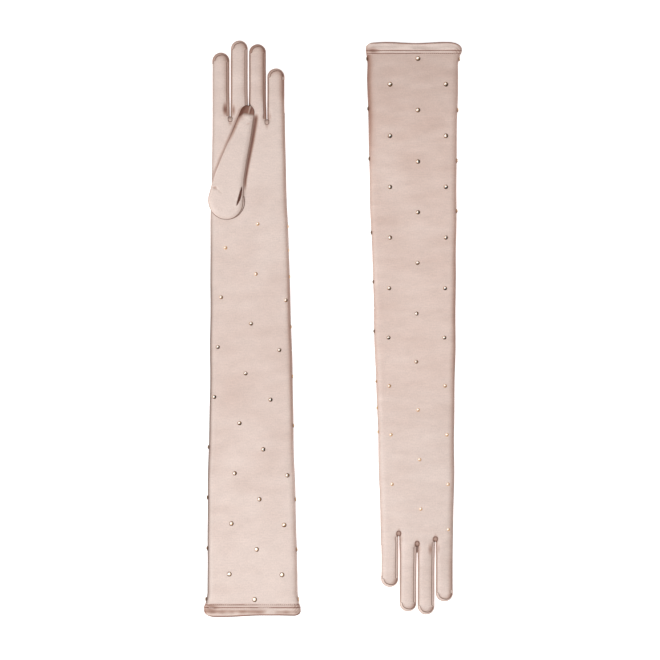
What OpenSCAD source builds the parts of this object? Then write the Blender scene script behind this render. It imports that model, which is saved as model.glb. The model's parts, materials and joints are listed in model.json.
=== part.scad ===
// A pair of opera gloves in stretch satin, lying flat side by side.
// The left glove lies palm up with its fingers towards +Y. The right glove lies
// palm down with its fingers towards -Y, and rests on its folded thumb.
//
// Each glove is drawn palm up in its own frame: X runs from the index side to the
// little finger side, Y runs from the cuff edge to the finger tips, and Z is 0 on
// the back of the hand. Every folding piece ends at a fold line, where it turns
// about the palm face.

/* [Pair] */
// Distance between the middle lines of the two gloves
pair_spacing = 180; // [150:1:260]

/* [Lengths] */
// Cuff edge to the elbow fold
upper_length = 166; // [110:1:220]
// Elbow fold to the wrist fold
forearm_length = 242; // [190:1:300]
// Wrist fold to the fold line across the finger roots
hand_length = 145; // [135:1:180]
// Fold line to the tip of the index, middle, ring and little finger
index_reach = 54; // [36:1:70]
middle_reach = 67; // [40:1:85]
ring_reach = 63; // [38:1:80]
little_reach = 37; // [28:1:55]
// Depth of the slit between index and middle, middle and ring, ring and little finger
index_slit = 15; // [8:1:22]
middle_slit = 10; // [6:1:22]
little_slit = 20; // [8:1:26]

/* [Widths] */
// Flat width of one finger
finger_w = 18.3; // [15:0.1:24]
// Gap between two neighbouring fingers
finger_gap = 1.2; // [0.8:0.1:3]
// Middle line to the index edge at the cuff
cuff_index_w = 44.8; // [38:0.1:60]
// Middle line to the little finger edge at the cuff
cuff_little_w = 52.6; // [38:0.1:65]

/* [Fabric] */
// Height of the glove as it lies, air included
lay_t = 9; // [7:0.1:12]
// Height of the folded thumb as it lies
thumb_t = 6; // [5:0.1:9]
// Thickness of one layer of satin
satin = 0.6; // [0.4:0.1:0.9]
// Depth of the turned hem at the cuff
hem_depth = 12; // [9:0.5:16]
// How far the hem flares past each side of the sleeve
hem_flare = 3; // [0:0.5:5]
// Distance between the two rows of hem stitches
needle_gap = 2.6; // [1.5:0.1:4]
// Thickness of the sewing thread
thread = 0.8; // [0.4:0.1:1.2]

/* [Thumb] */
// Radius of the thumb where it is sewn to the palm
thumb_base_r = 19; // [15:0.1:22]
// Radius of the thumb at its tip
thumb_tip_r = 8; // [6:0.1:11]
// Length between the centres of the base and the tip
thumb_length = 98; // [70:1:100]
// Lean of the thumb from the glove's length towards the little finger
thumb_lean = 13.6; // [5:0.1:16]
// Base centre from the middle line, towards the index side
thumb_side = 24.4; // [16:0.1:26]
// Wrist fold to the base centre
thumb_rise = 39; // [24:0.5:46]
// Radius of the hole between the palm and the thumb
thumb_hole_r = 13; // [9:0.1:14.5]

/* [Crystals] */
// Radius of a crystal at the cuff
crystal_cuff_r = 2.25; // [1.5:0.05:2.8]
// Radius of a crystal at the knuckles
crystal_hand_r = 1.6; // [1.2:0.05:2.2]
// Height of a crystal
crystal_h = 1.2; // [0.8:0.1:1.6]
// Distance between two rows of crystals
row_pitch = 26.9; // [20:0.1:36]
// Distance between two columns of crystals on the back of the hand
back_pitch = 59.6; // [40:0.1:70]
// Distance between two columns of crystals on the palm face, at the cuff
palm_pitch = 53; // [40:0.1:70]

/* [Hidden] */
$fn = 48;
FINGERS = ["index", "middle", "ring", "little"];
reach = [index_reach, middle_reach, ring_reach, little_reach];
slit = [index_slit, middle_slit, little_slit];

// Narrow flats that make up one round side of the glove.
side_flats = 16;
// Free space across a fold line, and between a moving piece and the palm.
fold_gap = 0.4;
thumb_gap = 0.3;
// The stitched side strip of a finger: how far it wraps round, and where it stops.
strip_w = 1.5;
strip_stop = 7;

// Places of the fold lines along the glove.
elbow_y = upper_length;
wrist_y = elbow_y + forearm_length;
fold_y = wrist_y + hand_length;
glove_y = fold_y + middle_reach;

finger_pitch = finger_w + finger_gap;
hand_half = 2 * finger_pitch - finger_gap / 2;

// The folded thumb lifts a palm-down glove off the table by this much.
lift = thumb_t + thumb_gap;
// Fold line of the thumb, from its base centre along the thumb.
thumb_fold = thumb_base_r + 3;

// First row of crystals past a fold line, and the least room before the next one.
row_start = 14.9;
row_end = 6;
hem_to_row = 7.5;
// How far past the edge a crystal may sit and still be set on the side.
wrap_reach = 9;
// The palm columns lean towards the little finger by this much at the wrist.
column_lean = 33;
column_bend = 1.35;
palm_column = -22.5;
back_column = -2;
palm_spread = 13;
// The palm columns spread from this height on.
spread_from = 200;

SIDES = ["left", "right"];
PIECES = [
    "upper_sleeve", "forearm_sleeve", "hand",
    "index_finger", "middle_finger", "ring_finger", "little_finger",
    "index_fourchette", "middle_fourchettes", "ring_fourchettes", "little_fourchette",
    "crotch_gussets", "thumb_base", "thumb", "hem", "hem_stitching",
    "thumb_seam", "upper_side_seam", "forearm_side_seam", "hand_side_seam",
    "upper_crystals", "forearm_crystals", "hand_crystals"
];

// ---- outline of the sleeve and the hand ----

// Place of the index edge and the little finger edge at height y along the glove.
function taper(y) = (fold_y - y) / fold_y;
function index_edge(y) = -hand_half - (cuff_index_w - hand_half) * taper(y);
function little_edge(y) = hand_half + (cuff_little_w - hand_half) * taper(y);
function finger_x(i) = (i - 1.5) * finger_pitch;

// A flat bar with round sides. Its edges run straight from lo0, hi0 at y0 to lo1, hi1
// at y1, and it stands from z0 to z0 + t. The sides are worked as narrow flats.
module flat_bar(y0, y1, lo0, hi0, lo1, hi1, z0, t) {
    near = section_ring(lo0, hi0, y0, z0, t);
    far = section_ring(lo1, hi1, y1, z0, t);
    n = len(near);
    polyhedron(
        points = concat(near, far),
        faces = concat(
            [[for (k = [n - 1 : -1 : 0]) k]],
            [[for (k = [0 : n - 1]) n + k]],
            [for (k = [0 : n - 1]) [n + (k + 1) % n, n + k, k, (k + 1) % n]]));
}

// The bar's outline at height y, from the underside of its high side round to its low side.
function section_ring(lo, hi, y, z0, t) =
    let (r = t / 2)
    concat(
        [for (k = [0 : side_flats]) section_point(hi - r, y, z0 + r, r, 180 * k / side_flats - 90)],
        [for (k = [0 : side_flats]) section_point(lo + r, y, z0 + r, r, 180 * k / side_flats + 90)]);
function section_point(x, y, z, r, angle) = [x + r * cos(angle), y, z + r * sin(angle)];

// A stretch of the glove between y0 and y1, taken in by the margin all round.
module glove_bar(y0, y1, margin = 0) {
    flat_bar(y0, y1, index_edge(y0) + margin, little_edge(y0) - margin,
             index_edge(y1) + margin, little_edge(y1) - margin,
             margin, lay_t - 2 * margin);
}

// ---- rest pose: where each piece of a glove lies, for a glove raised by its thumb ----

module bend(y, z, angle) {
    translate([0, y, z])
        rotate([angle, 0, 0])
            translate([0, -y, -z])
                children();
}

function ramp(raise) = asin(raise / forearm_length);
function droop(i, raise) = asin(raise / reach[i]);

module on_forearm(raise) bend(elbow_y, lay_t, -ramp(raise)) children();
module on_hand(raise) on_forearm(raise) bend(wrist_y, lay_t, ramp(raise)) children();
module on_finger(i, raise) on_hand(raise) bend(fold_y, lay_t, droop(i, raise)) children();

// ---- sleeve and hand ----

module sleeve_piece(y0, y1) {
    difference() {
        glove_bar(y0, y1);
        glove_bar(y0 - 1, y1 + 1, satin);
    }
}

module upper_sleeve() color("#dcc4b8") sleeve_piece(hem_depth, elbow_y - fold_gap / 2);
module forearm_sleeve() color("#dcc4b8") sleeve_piece(elbow_y + fold_gap / 2, wrist_y - fold_gap / 2);

// Slits between the finger roots, widened by the margin.
module slits(margin) {
    r = finger_gap / 2 + margin;
    for (i = [0 : 2])
        translate([(finger_x(i) + finger_x(i + 1)) / 2, fold_y - slit[i], -1]) {
            cylinder(r = r, h = lay_t + 2);
            translate([-r, 0, 0])
                cube([2 * r, slit[i] + 5, lay_t + 2]);
        }
}

// The hand as far as the fold line, with the roots of the fingers.
module hand_wall() {
    y0 = wrist_y + fold_gap / 2;
    y1 = fold_y - fold_gap / 2;
    difference() {
        glove_bar(y0, y1);
        difference() {
            glove_bar(y0 - 1, y1 + 1, satin);
            slits(satin);
        }
        slits(0);
    }
}

// The walls of the slits, where the side strips meet round the crotch of two fingers.
module crotch_zones() {
    half = finger_gap / 2 + strip_w;
    for (i = [0 : 2])
        translate([(finger_x(i) + finger_x(i + 1)) / 2 - half, fold_y - slit[i] - half, -1])
            cube([2 * half, slit[i] + half + 1, lay_t + 2]);
}

module hand() {
    color("#dcc4b8") difference() {
        hand_wall();
        crotch_zones();
        thumb_hole();
    }
}

module crotch_gussets() {
    color("#cfb2a4") intersection() {
        hand_wall();
        crotch_zones();
    }
}

// ---- fingers ----

// Half of a finger's section, from its middle line to its round edge.
module half_section(w, t) {
    r = t / 2;
    translate([0, -r])
        square([w / 2 - r, t]);
    intersection() {
        translate([w / 2 - r, 0])
            circle(r);
        translate([0, -t])
            square([w, 2 * t]);
    }
}

// A flat finger that starts at y0 and ends in a round tip at y1.
module finger_bar(x, y0, y1, w, t) {
    tip_y = y1 - w / 2;
    translate([x, 0, lay_t / 2]) {
        translate([0, y0, 0])
            rotate([-90, 0, 0])
                linear_extrude(tip_y - y0) {
                    half_section(w, t);
                    mirror([1, 0])
                        half_section(w, t);
                }
        translate([0, tip_y, 0])
            rotate_extrude(angle = 180)
                half_section(w, t);
    }
}

module finger_wall(i) {
    y0 = fold_y + fold_gap / 2;
    y1 = fold_y + reach[i];
    difference() {
        finger_bar(finger_x(i), y0, y1, finger_w, lay_t);
        finger_bar(finger_x(i), y0 - 1, y1 - satin, finger_w - 2 * satin, lay_t - 2 * satin);
    }
}

// The sides of a finger that face another finger: -1 towards the index, 1 towards the little finger.
function strip_sides(i) = i == 0 ? [1] : i == 3 ? [-1] : [-1, 1];

module strip_zone(i, side) {
    x = finger_x(i) + side * finger_w / 2;
    translate([side > 0 ? x - strip_w : x - 1, fold_y - 1, -1])
        cube([strip_w + 1, reach[i] - finger_w / 2 - strip_stop + 8, lay_t + 2]);
}

module finger(i) {
    color("#dcc4b8") difference() {
        finger_wall(i);
        for (side = strip_sides(i))
            strip_zone(i, side);
    }
}

module fourchettes(i) {
    color("#cfb2a4")
        for (side = strip_sides(i))
            intersection() {
                finger_wall(i);
                strip_zone(i, side);
            }
}

// ---- thumb ----

module at_thumb() {
    translate([-thumb_side, wrist_y + thumb_rise, 0])
        rotate([0, 0, -thumb_lean])
            children();
}

module thumb_hole() {
    at_thumb()
        translate([0, 0, lay_t - 2 * satin])
            cylinder(r = thumb_hole_r, h = 4 * satin);
}

// A round pad of radius r and height t with a half-round rim, standing on z 0.
module pad(r, t) {
    translate([0, 0, t / 2])
        rotate_extrude($fn = 40)
            half_section(2 * r, t, $fn = 24);
}

// The thumb lying along +Y from its base centre, taken in by the margin all round.
module thumb_bar(z0, t, margin = 0) {
    translate([0, 0, z0 + margin])
        hull() {
            pad(thumb_base_r - margin, t - 2 * margin);
            translate([0, thumb_length, 0])
                pad(thumb_tip_r - margin, t - 2 * margin);
        }
}

module thumb_wall(z0, t) {
    difference() {
        thumb_bar(z0, t);
        thumb_bar(z0, t, satin);
    }
}

// The sewn-on root of the thumb, which stays on the palm.
module thumb_base() {
    color("#dcc4b8") at_thumb()
        difference() {
            thumb_wall(lay_t, lift);
            translate([-100, thumb_fold - fold_gap / 2, 0])
                cube([200, 200, 50]);
            translate([0, 0, lay_t - 1])
                cylinder(r = thumb_hole_r, h = 1 + 2 * satin);
        }
}

module thumb() {
    color("#dcc4b8") at_thumb()
        intersection() {
            thumb_wall(lay_t + thumb_gap, thumb_t);
            translate([-100, thumb_fold + fold_gap / 2, 0])
                cube([200, 200, 50]);
        }
}

// The row of stitches round the back of the thumb's root.
module thumb_seam() {
    open = 55;
    color("#b98f80") at_thumb()
        translate([0, 0, lay_t])
            rotate([0, 0, 90 + open])
                rotate_extrude(angle = 360 - 2 * open)
                    translate([thumb_base_r + thread / 2 + 0.05, 0])
                        circle(thread / 2, $fn = 16);
}

// ---- hem and seams ----

module hem_bar(margin, y0 = 0, y1 = hem_depth) {
    flare0 = hem_flare * (1 - y0 / hem_depth);
    flare1 = hem_flare * (1 - y1 / hem_depth);
    flat_bar(y0, y1, index_edge(y0) - flare0 + margin, little_edge(y0) + flare0 - margin,
             index_edge(y1) - flare1 + margin, little_edge(y1) + flare1 - margin,
             margin, lay_t - 2 * margin);
}

// The cuff edge, turned in and doubled.
module hem() {
    color("#d6bbae") difference() {
        hem_bar(0);
        hem_bar(2 * satin, -1, hem_depth + 1);
    }
}

module hem_stitching(palm_up) {
    color("#b98f80")
        for (row = [0, 1])
            stitch_ring(hem_depth - thread - row * needle_gap, palm_up);
}

// One row of thread round the hem. It stands proud of the satin, but not on the table.
module stitch_ring(y, palm_up) {
    proud = thread / 4;
    intersection() {
        difference() {
            hem_bar(-proud, y - thread / 4, y + thread / 4);
            hem_bar(proud, y - thread, y + thread);
        }
        translate([-200, 0, palm_up ? 0 : -50])
            cube([400, 60, 50 + lay_t]);
    }
}

// The seam that closes the sleeve along the little finger side.
module side_seam(y0, y1) {
    a = [little_edge(y0), y0, lay_t / 2];
    b = [little_edge(y1), y1, lay_t / 2];
    color("#b98f80") translate(a)
        rotate([0, 0, atan2(b.y - a.y, b.x - a.x)])
            rotate([0, 90, 0])
                cylinder(r = thread / 2, h = norm(b - a), $fn = 16);
}

// ---- crystals ----

// A flat-backed crystal with a sloped crown and a flat table. Its back is at z 0.
module crystal(r) {
    girdle = 0.25 * crystal_h;
    cylinder(r = r, h = girdle);
    translate([0, 0, girdle])
        cylinder(r1 = r, r2 = 0.5 * r, h = crystal_h - girdle);
}

function crystal_r(y) = crystal_cuff_r + (crystal_hand_r - crystal_cuff_r) * min(1, y / fold_y);

// Columns on the palm face lean towards the little finger; those on the back run straight.
function palm_base(y) = palm_column + column_lean * pow(y / wrist_y, column_bend);
function palm_gap(y) = palm_pitch + palm_spread * max(0, (y - spread_from) / spread_from);
function palm_columns(y, odd) =
    [for (n = odd ? [-1 : 1] : [-1.5 : 1 : 1.5]) palm_base(y) + n * palm_gap(y)];
function back_columns(odd) =
    [for (n = odd ? [-0.5, 0.5] : [-1 : 1]) back_column + n * back_pitch];

// One row of crystals at y. Crystals on the face that lies on the table are pressed in flush.
module crystal_row(y, odd, palm_up, palm = true) {
    r = crystal_r(y);
    low = index_edge(y);
    high = little_edge(y);
    flat = lay_t / 2;
    if (palm)
        for (x = palm_columns(y, odd))
            if (x > low + flat && x < high - flat)
                translate([x, y, palm_up ? lay_t : lay_t - crystal_h])
                    crystal(r);
    for (x = back_columns(odd))
        if (x > low + flat && x < high - flat)
            translate([x, y, palm_up ? crystal_h : 0])
                mirror([0, 0, 1])
                    crystal(r);
    if (on_side([for (x = palm_columns(y, odd)) if (palm) low - x]))
        side_crystal(low, y, -1);
    if (on_side([for (x = palm_columns(y, odd)) if (palm) x - high])
        || on_side([for (x = back_columns(odd)) x - high]))
        side_crystal(high, y, 1);
}

// True if one of these distances past an edge puts a crystal on the side.
function on_side(past) = len([for (p = past) if (p > -lay_t / 2 && p < wrap_reach) p]) > 0;

module side_crystal(x, y, side) {
    sunk = thread / 2;
    translate([x - side * sunk, y, lay_t / 2])
        rotate([0, 90 * side, 0])
            crystal(crystal_r(y));
}

// Rows from first to last, with every other row odd. The count goes on from the piece before.
module crystal_rows(first, last, before, palm_up, palm_last = 1e6) {
    color("#c9a27e")
        for (k = [0 : floor((last - first) / row_pitch)])
            crystal_row(first + k * row_pitch, (k + before) % 2 == 1, palm_up,
                        first + k * row_pitch < palm_last);
}

upper_first = hem_depth + hem_to_row;
upper_rows = floor((elbow_y - row_end - upper_first) / row_pitch) + 1;
forearm_rows = floor((forearm_length - row_start - row_end) / row_pitch) + 1;
module upper_crystals(palm_up)
    crystal_rows(upper_first, elbow_y - row_end, 0, palm_up);
module forearm_crystals(palm_up)
    crystal_rows(elbow_y + row_start, wrist_y - row_end, upper_rows, palm_up);
module hand_crystals(palm_up)
    crystal_rows(wrist_y + row_start, fold_y - max(slit) - row_end / 2, upper_rows + forearm_rows,
                 palm_up, wrist_y + thumb_rise - thumb_base_r - crystal_hand_r - thread);

// ---- one glove, palm up ----

module glove_piece(piece, palm_up) {
    raise = palm_up ? 0 : lift;
    if (piece == "upper_sleeve") upper_sleeve();
    if (piece == "hem") hem();
    if (piece == "hem_stitching") hem_stitching(palm_up);
    if (piece == "upper_side_seam") side_seam(hem_depth, elbow_y - fold_gap);
    if (piece == "upper_crystals") upper_crystals(palm_up);
    on_forearm(raise) {
        if (piece == "forearm_sleeve") forearm_sleeve();
        if (piece == "forearm_side_seam") side_seam(elbow_y + fold_gap, wrist_y - fold_gap);
        if (piece == "forearm_crystals") forearm_crystals(palm_up);
    }
    on_hand(raise) {
        if (piece == "hand") hand();
        if (piece == "crotch_gussets") crotch_gussets();
        if (piece == "thumb_base") thumb_base();
        if (piece == "thumb") thumb();
        if (piece == "thumb_seam") thumb_seam();
        if (piece == "hand_side_seam") side_seam(wrist_y + fold_gap, fold_y - fold_gap);
        if (piece == "hand_crystals") hand_crystals(palm_up);
    }
    for (i = [0 : 3])
        on_finger(i, raise) {
            if (piece == str(FINGERS[i], "_finger")) finger(i);
            if (piece == str(FINGERS[i], "_fourchette")) fourchettes(i);
            if (piece == str(FINGERS[i], "_fourchettes")) fourchettes(i);
        }
}

// The left glove lies palm up and flat.
module left_piece(piece)
    translate([-pair_spacing / 2, -glove_y / 2, 0])
        glove_piece(piece, true);

// The right glove is the left one's mirror image, palm down, turned end for end.
module right_piece(piece)
    rotate([0, 0, 180])
        translate([-pair_spacing / 2, -glove_y / 2, lay_t])
            mirror([0, 0, 1])
                glove_piece(piece, false);

// One piece of one glove, in its place in the pair.
module pair_piece(side, piece) {
    if (side == "left") left_piece(piece);
    else right_piece(piece);
}

for (side = SIDES, piece = PIECES)
    pair_piece(side, piece);
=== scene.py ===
"""A pair of long satin evening gloves lying flat: the left palm up, the right back up.

Every glove is worked out in its own flat frame, in millimetres. x runs from the index
side to the little finger side, s runs from the cuff edge to the finger tips, and h is
the height over the table. lay_down() puts that frame in its place.
"""

import json

import bmesh
import bpy
import numpy as np
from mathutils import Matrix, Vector


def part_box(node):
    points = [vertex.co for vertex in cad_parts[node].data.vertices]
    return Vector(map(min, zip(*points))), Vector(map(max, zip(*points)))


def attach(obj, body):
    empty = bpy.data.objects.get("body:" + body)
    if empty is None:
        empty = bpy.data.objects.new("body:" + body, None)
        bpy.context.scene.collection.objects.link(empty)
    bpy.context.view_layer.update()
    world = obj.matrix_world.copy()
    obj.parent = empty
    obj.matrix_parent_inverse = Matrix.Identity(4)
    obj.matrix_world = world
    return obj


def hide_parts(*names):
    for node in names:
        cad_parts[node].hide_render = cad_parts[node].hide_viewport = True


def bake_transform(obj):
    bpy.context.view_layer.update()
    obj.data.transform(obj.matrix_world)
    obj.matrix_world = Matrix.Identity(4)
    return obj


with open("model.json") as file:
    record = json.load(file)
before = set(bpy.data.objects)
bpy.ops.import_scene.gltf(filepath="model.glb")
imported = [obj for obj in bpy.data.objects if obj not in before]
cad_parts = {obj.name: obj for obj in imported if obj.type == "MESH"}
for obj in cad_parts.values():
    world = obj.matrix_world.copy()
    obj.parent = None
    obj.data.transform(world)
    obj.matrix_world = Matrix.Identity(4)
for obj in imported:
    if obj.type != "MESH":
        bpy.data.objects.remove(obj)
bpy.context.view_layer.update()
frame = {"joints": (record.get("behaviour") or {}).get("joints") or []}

MM = 0.001
FINGERS = ("index", "middle", "ring", "little")
hinges = {j["name"]: j for j in frame["joints"]}


# ---------------------------------------------------------------- sizes from the frame


def node_box(node):
    """Lowest and highest corner of a CAD node, in millimetres."""
    low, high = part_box(node)
    return np.array(low) / MM, np.array(high) / MM


def hinge_at(name):
    """A hinge's place in the row frame, in millimetres."""
    return np.array(hinges[name]["pos_m"]) / MM


MIDDLE = abs(hinge_at("left_elbow")[0])
CUFF = -node_box("left_hem")[0][1]
ELBOW = hinge_at("left_elbow")[1] + CUFF
WRIST = hinge_at("left_wrist")[1] + CUFF
FOLD = hinge_at("left_middle_flex")[1] + CUFF
LAY = node_box("left_hem")[1][2]
LIFT = node_box("left_thumb")[1][2] - LAY
TIPS = [node_box(f"left_{f}_finger")[1][1] + CUFF for f in FINGERS]
FINGER_X = [
    (node_box(f"left_{f}_finger")[0][0] + node_box(f"left_{f}_finger")[1][0]) / 2 + MIDDLE
    for f in FINGERS
]
LOW_HAND = node_box("left_index_finger")[0][0] + MIDDLE
HIGH_HAND = node_box("left_little_finger")[1][0] + MIDDLE
LOW_CUFF = node_box("left_upper_sleeve")[0][0] + MIDDLE
HIGH_CUFF = node_box("left_upper_sleeve")[1][0] + MIDDLE

SLIT_X = [(FINGER_X[j] + FINGER_X[j + 1]) / 2 for j in range(3)]
# Half the gap between two fingers, and how far a crotch diamond's centre lies below its slit.
GAP = 0.65
DIAMOND_BACK = 2.5
# Where the sleeve's piece of cloth ends and the hand's begins.
SLEEVE_END = 288.0
FINGER_START = FOLD - 9.0

# The folded thumb: base centre, lean and size.
THUMB_BASE = np.array([-24.4, WRIST + 39.0])
THUMB_LEAN = np.radians(13.6)
THUMB_LONG = 98.0
BASE_R = 19.2
TIP_R = 8.0
THUMB_SLOPE = np.arcsin((BASE_R - TIP_R) / THUMB_LONG)
ALONG = np.array([np.sin(THUMB_LEAN), np.cos(THUMB_LEAN)])
ACROSS = np.array([np.cos(THUMB_LEAN), -np.sin(THUMB_LEAN)])


# ---------------------------------------------------------------- plain maths


def ease(t):
    """Smooth step from 0 to 1: 3t squared less 2t cubed, with t held in 0..1."""
    t = np.clip(t, 0, 1)
    return t * t * (3 - 2 * t)


def soft_ramp(s, a, b, soft):
    """A ramp from 0 at a to 1 at b with rounded ends: the difference of two soft bends."""

    def bend(v):
        return soft * np.logaddexp(0, v / soft)

    return (bend(s - a) - bend(s - b)) / (b - a)


def bell(distance, width):
    """1 at no distance, falling off as e to the minus of (distance over width) squared."""
    return np.exp(-((distance / width) ** 2))


def quarter_round(d, r):
    """Height of a quarter circle of radius r at distance d from its outer end, from 0 to 1."""
    t = np.clip(d / r, 0, 1)
    return np.sqrt(np.clip(1 - (1 - t) ** 2, 0, 1))


def dent(x, s, cx, cs, rx, rs, turn=0.0):
    """A round bump of height 1 at (cx, cs), e to the minus of its squared distance in radii."""
    c, n = np.cos(turn), np.sin(turn)
    dx, ds = x - cx, s - cs
    return np.exp(-(((dx * c + ds * n) / rx) ** 2) - ((-dx * n + ds * c) / rs) ** 2)


def crease(x, s, a, b, width):
    """A long bump from a to b: a bell across the line, tapering to nothing at both ends."""
    a, b = np.array(a, float), np.array(b, float)
    run = b - a
    length = np.hypot(*run)
    t = ((x - a[0]) * run[0] + (s - a[1]) * run[1]) / length**2
    off = ((x - a[0]) * run[1] - (s - a[1]) * run[0]) / length
    return bell(off, width) * np.sin(np.pi * np.clip(t, 0, 1)) ** 0.7


def ripple(x, s, seed, shortest, longest, count=16):
    """Soft cloth unevenness: the mean of plane waves of many lengths and directions."""
    rng = np.random.default_rng(seed)
    total = 0
    for length, turn, start in zip(
        rng.uniform(shortest, longest, count),
        rng.uniform(0, np.pi, count),
        rng.uniform(0, 2 * np.pi, count),
    ):
        total = total + np.sin(2 * np.pi * (x * np.cos(turn) + s * np.sin(turn)) / length + start)
    return total / np.sqrt(count)


# ---------------------------------------------------------------- outline of a glove


class Glove:
    """One glove: its name, its way of lying, and what differs a little between the two."""

    def __init__(self, side):
        self.side = side
        self.palm_up = side == "left"
        self.seed = 11 if self.palm_up else 47
        # The side strips show on the side that the fingers are rolled away from.
        self.strip_side = 1 if self.palm_up else -1
        # The fingers of the back-up glove droop to the table, so they reach less far.
        droop = (0, 0, 0, 0) if self.palm_up else (4.4, 3.3, 2.8, 3.0)
        self.tips = [tip - less for tip, less in zip(TIPS, droop)]
        self.crotch = [FOLD - 15.0, FOLD - 10.0, FOLD - (18.0 if self.palm_up else 21.0)]


def sway(glove, s):
    """How far the glove lies to the side of its middle line, in two soft curves."""
    if glove.palm_up:
        return -0.9 * np.sin(np.pi * np.clip(s / 240, 0, 1)) - 1.3 * ease((s - 250) / 200)
    return 1.1 * np.sin(np.pi * np.clip(s / 250, 0, 1))


def edge_wobble(glove, s):
    """Small in and out of a cloth edge, in millimetres: three slow waves along s."""
    k = glove.seed
    return 0.22 * np.sin(s / 23 + k) + 0.16 * np.sin(s / 11 + 2 * k) + 0.3 * np.sin(s / 61 + k)


# How far each side bows out of its straight taper: places s, then millimetres.
SIDE_BOWS = {
    "left": (
        ((15, 45, 200, 300, 400, 450), (0, 0.6, 1.2, 0.7, 0.7, 0.2)),
        ((15, 45, 110, 170, 290, 380, 440), (0, 1.2, 1.2, 0.2, 0, 1.3, 0.3)),
    ),
    "right": (
        ((15, 60, 330, 420), (0, 0.4, 0.5, 0)),
        ((8, 40, 200, 330, 420), (0, 1.4, 1.4, 0.8, 0)),
    ),
}


def outer_edges(glove, s):
    """Index edge and little finger edge at s: straight tapers from cuff to hand, with a wobble."""
    share = np.clip((FOLD - s) / FOLD, 0, 1)
    still = 1 - ease((s - FOLD + 60) / 60) * 0.8
    low = LOW_HAND + (LOW_CUFF - LOW_HAND) * share + edge_wobble(glove, s) * still
    high = HIGH_HAND + (HIGH_CUFF - HIGH_HAND) * share - edge_wobble(glove, s + 150) * still
    flare = 3.3 * ease((27 - s) / 19)
    out_low, out_high = [np.interp(s, *table) for table in SIDE_BOWS[glove.side]]
    return low + sway(glove, s) - flare - out_low, high + sway(glove, s) + 0.7 * flare + out_high


def slit_line(glove, j, s):
    """The line between fingers j and j + 1, drawn on down the hand and sleeve in proportion."""
    low, high = outer_edges(glove, s)
    share = (SLIT_X[j] - LOW_HAND) / (HIGH_HAND - LOW_HAND)
    return low + (high - low) * share


def slit_half(glove, j, s):
    """Half the gap between two fingers at s: a small round end, then a slow widening."""
    open_ = GAP + 0.35 * ease((s - glove.crotch[j]) / 30)
    up = s - glove.crotch[j]
    round_end = np.sqrt(np.clip(GAP**2 - (GAP - np.clip(up, 0, GAP)) ** 2, 0, None))
    return np.where(up <= 0, 0, np.where(up < GAP, round_end, open_))


def finger_edges(glove, k, s):
    """Left and right edge of finger k at s, or of its share of the hand below the slits."""
    low, high = outer_edges(glove, s)
    left = low if k == 0 else slit_line(glove, k - 1, s) + slit_half(glove, k - 1, s)
    right = high if k == 3 else slit_line(glove, k, s) - slit_half(glove, k, s)
    return left, right


def finger_cap(glove, k):
    """Middle x, radius and starting s of the round tip of finger k."""
    left, right = finger_edges(glove, k, np.array([glove.tips[k] - 9.0]))
    r = float(right[0] - left[0]) / 2
    return float(left[0] + right[0]) / 2, r, glove.tips[k] - r


def fullness(glove, x, s, k, r):
    """How fully the glove stands at a point, 0 on its outline and 1 inside.

    It is the product of quarter rounds of the distances to the two outer edges and the three
    slits. On a round finger tip it is the quarter round of the distance to the tip's arc.
    """
    low, high = outer_edges(glove, s)
    full = quarter_round(x - low, r) * quarter_round(high - x, r)
    for j in range(3):
        half = slit_half(glove, j, np.maximum(s, glove.crotch[j] + GAP))
        below = np.maximum(glove.crotch[j] + GAP - s, 0)
        full = full * quarter_round(np.hypot(x - slit_line(glove, j, s), below) - half, r)
    cx, cr, cs = finger_cap(glove, k)
    tip = quarter_round(cr - np.hypot(x - cx, s - cs), r)
    return np.where(s > cs, tip, full)


def thickness(s):
    """Height of the lying glove along s, from cuff to finger tips."""
    return np.interp(s, [0, 20, 166, 408, 500, 553, 620], [8.6, 8.4, 8.2, 8.0, 7.8, 7.3, 6.6])


def to_thumb(x, s):
    """Distance along and across the thumb, from its base centre."""
    dx, ds = x - THUMB_BASE[0], s - THUMB_BASE[1]
    return dx * ALONG[0] + ds * ALONG[1], dx * ACROSS[0] + ds * ACROSS[1]


def from_thumb(t, w):
    """x and s of the point at t along and w across the thumb."""
    return [THUMB_BASE[a] + t * ALONG[a] + w * ACROSS[a] for a in (0, 1)]


def thumb_half(t):
    """Half width of the thumb at t: a circle at the base, a straight taper, a circle at the tip."""
    t0, t1 = BASE_R * np.sin(THUMB_SLOPE), THUMB_LONG + TIP_R * np.sin(THUMB_SLOPE)
    w0, w1 = BASE_R * np.cos(THUMB_SLOPE), TIP_R * np.cos(THUMB_SLOPE)
    base = np.sqrt(np.clip(BASE_R**2 - t**2, 0, None))
    tip = np.sqrt(np.clip(TIP_R**2 - (t - THUMB_LONG) ** 2, 0, None))
    line = w0 + (w1 - w0) * (t - t0) / (t1 - t0)
    return np.where(t < t0, base, np.where(t > t1, tip, line))


def thumb_middle(t):
    """How far the thumb's middle line bows to the index side of its axis at t."""
    return np.interp(t, [-19, 4, 14, 27, 45, 70, 100], [0, -1.5, -2.4, -3.5, -3.0, -1.7, -0.9])


def past_thumb(x, s):
    """Distance outside the thumb's outline, 0 on it."""
    t, w = to_thumb(x, s)
    inside = np.clip(t, 0, THUMB_LONG)
    r = BASE_R + (TIP_R - BASE_R) * inside / THUMB_LONG
    return np.maximum(np.hypot(t - inside, w) - r, 0)


def raise_over_thumb(glove, x, s):
    """Height of the back-up glove over the table.

    It climbs from the elbow to the wrist and falls from the finger roots to the finger tips, and
    the cloth sinks towards the table away from the folded thumb.
    """
    reach = np.interp(x, FINGER_X, [tip - FOLD for tip in glove.tips])
    climb = soft_ramp(s, ELBOW, WRIST, 14)
    fall = soft_ramp(s, FOLD, FOLD + reach, 4)
    sink = 0.72 * ease((past_thumb(x, s) - 3) / 48)
    return LIFT * np.clip(climb - fall, 0, 1) * (1 - sink)


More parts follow.
